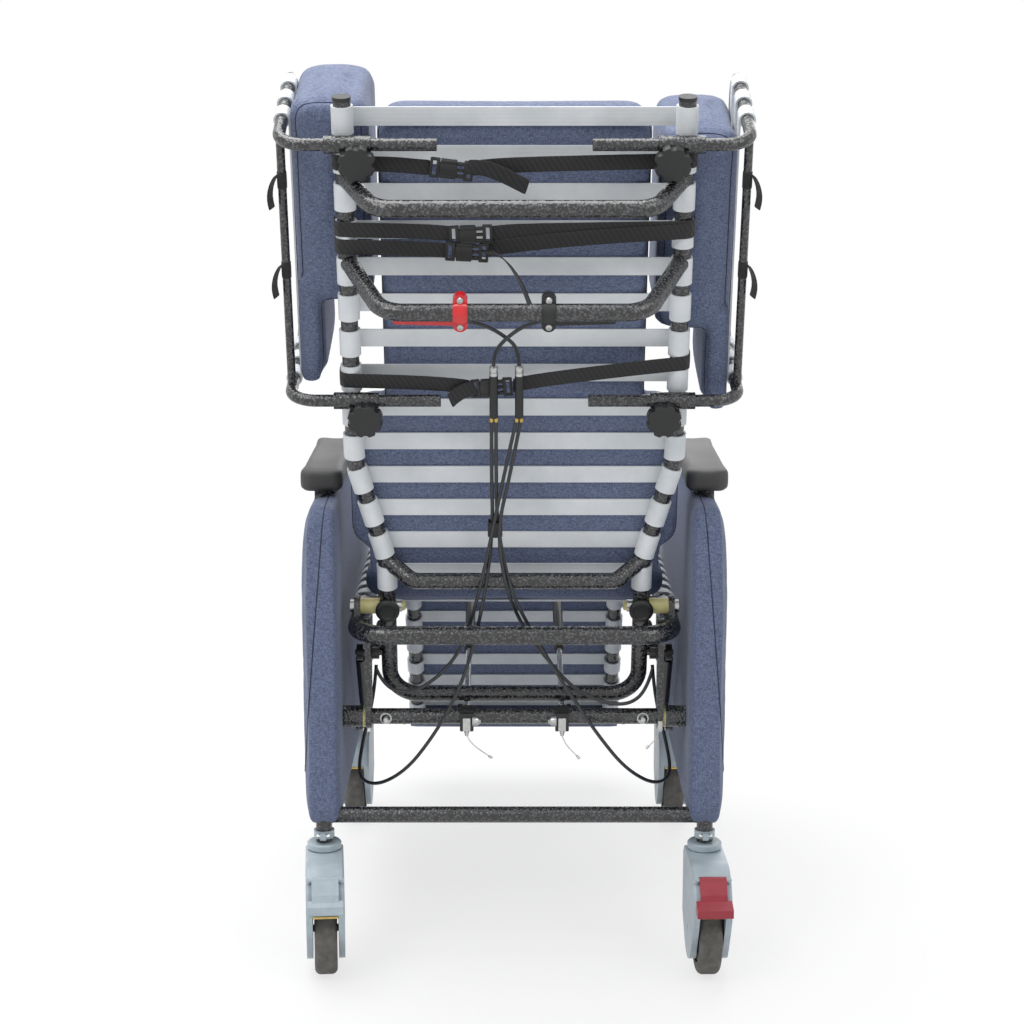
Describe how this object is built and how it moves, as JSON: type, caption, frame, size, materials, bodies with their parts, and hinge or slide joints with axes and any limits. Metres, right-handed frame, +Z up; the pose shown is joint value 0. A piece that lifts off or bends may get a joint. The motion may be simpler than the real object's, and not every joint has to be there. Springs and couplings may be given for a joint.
{
  "type": "tilt recliner chair",
  "caption": "Wheeled tilt recliner with strap suspension, adjustable head wings, padded sides and leg rest; tilts and reclines on gas springs from hand levers.",
  "frame": {"origin": "floor level under the middle of the chair's outer box", "axes": "+Y is the way the sitter faces, +X is the sitter's right, +Z is up"},
  "size_m": [0.6074, 1.0119, 1.2273],
  "materials": {
    "black_paint": "hammered",
    "blue_fabric": "woven",
    "grey_strap": "matte",
    "arm_foam": "matte",
    "caster_grey": "satin",
    "tread": "matte",
    "red_plastic": "satin",
    "zinc": "brushed",
    "yellow_nylon": "satin",
    "black_webbing": "woven",
    "black_plastic": "satin",
    "red_paint": "gloss",
    "cable_sheath": "satin",
    "chrome_rod": "polished"
  },
  "bodies": {
    "base": {"side_frames": "black_paint", "rear_cross_tube": "black_paint", "side_panel_left": "blue_fabric", "side_panel_right": "blue_fabric", "arm_pads": "arm_foam", "leg_clamps": "caster_grey", "caster_stems": "caster_grey"},
    "seat": {"seat_frame": "black_paint", "rail_plugs": "black_plastic", "seat_straps": "grey_strap", "seat_cushion": "blue_fabric", "hinge_bushes": "yellow_nylon", "hinge_bolts": "zinc"},
    "backrest": {"back_frame": "black_paint", "back_cross_bars": "black_paint", "upright_caps": "black_plastic", "back_straps": "grey_strap", "back_cushion": "blue_fabric", "wing_sleeves": "black_paint", "back_webbing": "black_webbing", "back_buckles": "black_plastic", "red_lever_clamp": "red_paint", "black_lever_clamp": "black_plastic", "cable_splitters": "black_plastic", "lever_cables": "cable_sheath", "recline_cables": "cable_sheath", "tilt_cables": "cable_sheath"},
    "legrest": {"legrest_frame": "black_paint", "legrest_straps": "grey_strap", "calf_cushion": "blue_fabric"},
    "left_wing": {"left_wing_frame": "black_paint", "left_wing_straps": "grey_strap", "left_wing_pad": "blue_fabric"},
    "right_wing": {"right_wing_frame": "black_paint", "right_wing_straps": "grey_strap", "right_wing_pad": "blue_fabric"},
    "red_lever": {"red_lever": "red_paint"},
    "black_lever": {"black_lever": "black_plastic"},
    "recline_cylinders": {"recline_spring_cylinders": "black_paint"},
    "recline_rods": {"recline_spring_rods": "chrome_rod"},
    "tilt_rods": {"tilt_spring_rods": "chrome_rod"},
    "tilt_cylinders": {"tilt_spring_cylinders": "black_paint"},
    "leg_rods": {"leg_spring_rods": "chrome_rod"},
    "leg_cylinders": {"leg_spring_cylinders": "black_paint"},
    "left_high_knob": {"left_high_knob": "black_plastic"},
    "left_low_knob": {"left_low_knob": "black_plastic"},
    "right_high_knob": {"right_high_knob": "black_plastic"},
    "right_low_knob": {"right_low_knob": "black_plastic"},
    "front_left_fork": {"front_left_fork": "caster_grey"},
    "front_left_wheel": {"front_left_wheel": "tread"},
    "front_right_fork": {"front_right_fork": "caster_grey"},
    "front_right_wheel": {"front_right_wheel": "tread"},
    "rear_left_fork": {"rear_left_fork": "caster_grey"},
    "rear_left_wheel": {"rear_left_wheel": "tread"},
    "rear_left_pedal": {"rear_left_pedal": "caster_grey"},
    "rear_right_fork": {"rear_right_fork": "caster_grey"},
    "rear_right_wheel": {"rear_right_wheel": "tread"},
    "rear_right_pedal": {"rear_right_pedal": "red_plastic"}
  },
  "joints": [
    {"name": "tilt", "type": "hinge", "parent": "base", "child": "seat", "pos_m": [0, -0.242, 0.335], "axis": [1, 0, 0], "range_deg": [0, 25]},
    {"name": "recline", "type": "hinge", "parent": "seat", "child": "backrest", "pos_m": [0, -0.242, 0.493], "axis": [1, 0, 0], "range_deg": [0, 45], "deforming": ["tilt_cables", "recline_cables"]},
    {"name": "leg_raise", "type": "hinge", "parent": "seat", "child": "legrest", "pos_m": [0, 0.258, 0.466], "axis": [1, 0, 0], "range_deg": [0, 60]},
    {"name": "left_wing_slide", "type": "slide", "parent": "backrest", "child": "left_wing", "axis": [-1, 0, 0], "range_m": [-0.004, 0.045]},
    {"name": "right_wing_slide", "type": "slide", "parent": "backrest", "child": "right_wing", "axis": [1, 0, 0], "range_m": [-0.004, 0.045]},
    {"name": "left_high_knob_turn", "type": "hinge", "parent": "backrest", "child": "left_high_knob", "pos_m": [-0.194, -0.4489, 1.10571], "axis": [0, -0.9613, -0.2756], "continuous": true},
    {"name": "left_low_knob_turn", "type": "hinge", "parent": "backrest", "child": "left_low_knob", "pos_m": [-0.194, -0.35375, 0.77388], "axis": [0, -0.9613, -0.2756], "continuous": true},
    {"name": "right_high_knob_turn", "type": "hinge", "parent": "backrest", "child": "right_high_knob", "pos_m": [0.194, -0.4489, 1.10571], "axis": [0, -0.9613, -0.2756], "continuous": true},
    {"name": "right_low_knob_turn", "type": "hinge", "parent": "backrest", "child": "right_low_knob", "pos_m": [0.194, -0.35375, 0.77388], "axis": [0, -0.9613, -0.2756], "continuous": true},
    {"name": "red_lever_pull", "type": "hinge", "parent": "backrest", "child": "red_lever", "pos_m": [-0.067, -0.46812, 0.91242], "axis": [0, 0.9613, 0.2756], "range_deg": [0, 12], "stiffness_Nm_per_rad": 1.2},
    {"name": "black_lever_pull", "type": "hinge", "parent": "backrest", "child": "black_lever", "pos_m": [0.042, -0.46812, 0.91242], "axis": [0, -0.9613, -0.2756], "range_deg": [0, 12], "stiffness_Nm_per_rad": 1.2},
    {"name": "front_left_swivel", "type": "hinge", "parent": "base", "child": "front_left_fork", "pos_m": [-0.262, 0.348, 0.164], "axis": [0, 0, 1], "continuous": true},
    {"name": "front_left_roll", "type": "hinge", "parent": "front_left_fork", "child": "front_left_wheel", "pos_m": [-0.262, 0.31, 0.0625], "axis": [1, 0, 0], "continuous": true},
    {"name": "front_right_swivel", "type": "hinge", "parent": "base", "child": "front_right_fork", "pos_m": [0.262, 0.348, 0.164], "axis": [0, 0, 1], "continuous": true},
    {"name": "front_right_roll", "type": "hinge", "parent": "front_right_fork", "child": "front_right_wheel", "pos_m": [0.262, 0.31, 0.0625], "axis": [1, 0, 0], "continuous": true},
    {"name": "rear_left_swivel", "type": "hinge", "parent": "base", "child": "rear_left_fork", "pos_m": [-0.262, -0.302, 0.164], "axis": [0, 0, 1], "continuous": true},
    {"name": "rear_left_roll", "type": "hinge", "parent": "rear_left_fork", "child": "rear_left_wheel", "pos_m": [-0.25869, -0.33986, 0.0625], "axis": [0.9962, 0.0872, 0], "continuous": true},
    {"name": "rear_left_pedal_lift", "type": "hinge", "parent": "rear_left_fork", "child": "rear_left_pedal", "pos_m": [-0.25355, -0.39863, 0.153], "axis": [-0.9962, -0.0872, 0], "range_deg": [0, 10]},
    {"name": "rear_right_swivel", "type": "hinge", "parent": "base", "child": "rear_right_fork", "pos_m": [0.262, -0.302, 0.164], "axis": [0, 0, 1], "continuous": true},
    {"name": "rear_right_roll", "type": "hinge", "parent": "rear_right_fork", "child": "rear_right_wheel", "pos_m": [0.26333, -0.33998, 0.0625], "axis": [0.9994, 0.0349, 0], "continuous": true},
    {"name": "rear_right_pedal_lift", "type": "hinge", "parent": "rear_right_fork", "child": "rear_right_pedal", "pos_m": [0.26538, -0.39894, 0.153], "axis": [-0.9994, -0.0349, 0], "range_deg": [0, 10]},
    {"name": "recline_spring_swing", "type": "hinge", "parent": "backrest", "child": "recline_cylinders", "pos_m": [0, -0.22133, 0.4209], "axis": [1, 0, 0], "range_deg": [-55, 1]},
    {"name": "recline_spring_stroke", "type": "slide", "parent": "recline_cylinders", "child": "recline_rods", "axis": [0, 0.9993, 0.0367], "range_m": [-0.0475, 0.001]},
    {"name": "tilt_spring_swing", "type": "hinge", "parent": "base", "child": "tilt_rods", "pos_m": [0, -0.002, 0.249], "axis": [1, 0, 0], "range_deg": [-1.5, 0.5]},
    {"name": "tilt_spring_stroke", "type": "slide", "parent": "tilt_rods", "child": "tilt_cylinders", "axis": [0, -0.635, 0.7725], "range_m": [-0.001, 0.06]},
    {"name": "leg_spring_swing", "type": "hinge", "parent": "seat", "child": "leg_rods", "pos_m": [0, -0.217, 0.335], "axis": [1, 0, 0], "range_deg": [-2, 0.5]},
    {"name": "leg_spring_stroke", "type": "slide", "parent": "leg_rods", "child": "leg_cylinders", "axis": [0, 0.9824, 0.1866], "range_m": [-0.001, 0.051]}
  ],
  "couplings": [
    {"joint": "recline_spring_swing", "follows": "recline", "ratio": -1.1865},
    {"joint": "recline_spring_stroke", "follows": "recline", "m_per_rad": -0.058787},
    {"joint": "tilt_spring_swing", "follows": "tilt", "ratio": -0.0245},
    {"joint": "tilt_spring_stroke", "follows": "tilt", "m_per_rad": 0.133},
    {"joint": "leg_spring_swing", "follows": "leg_raise", "ratio": -0.0198},
    {"joint": "leg_spring_stroke", "follows": "leg_raise", "m_per_rad": 0.046785}
  ]
}
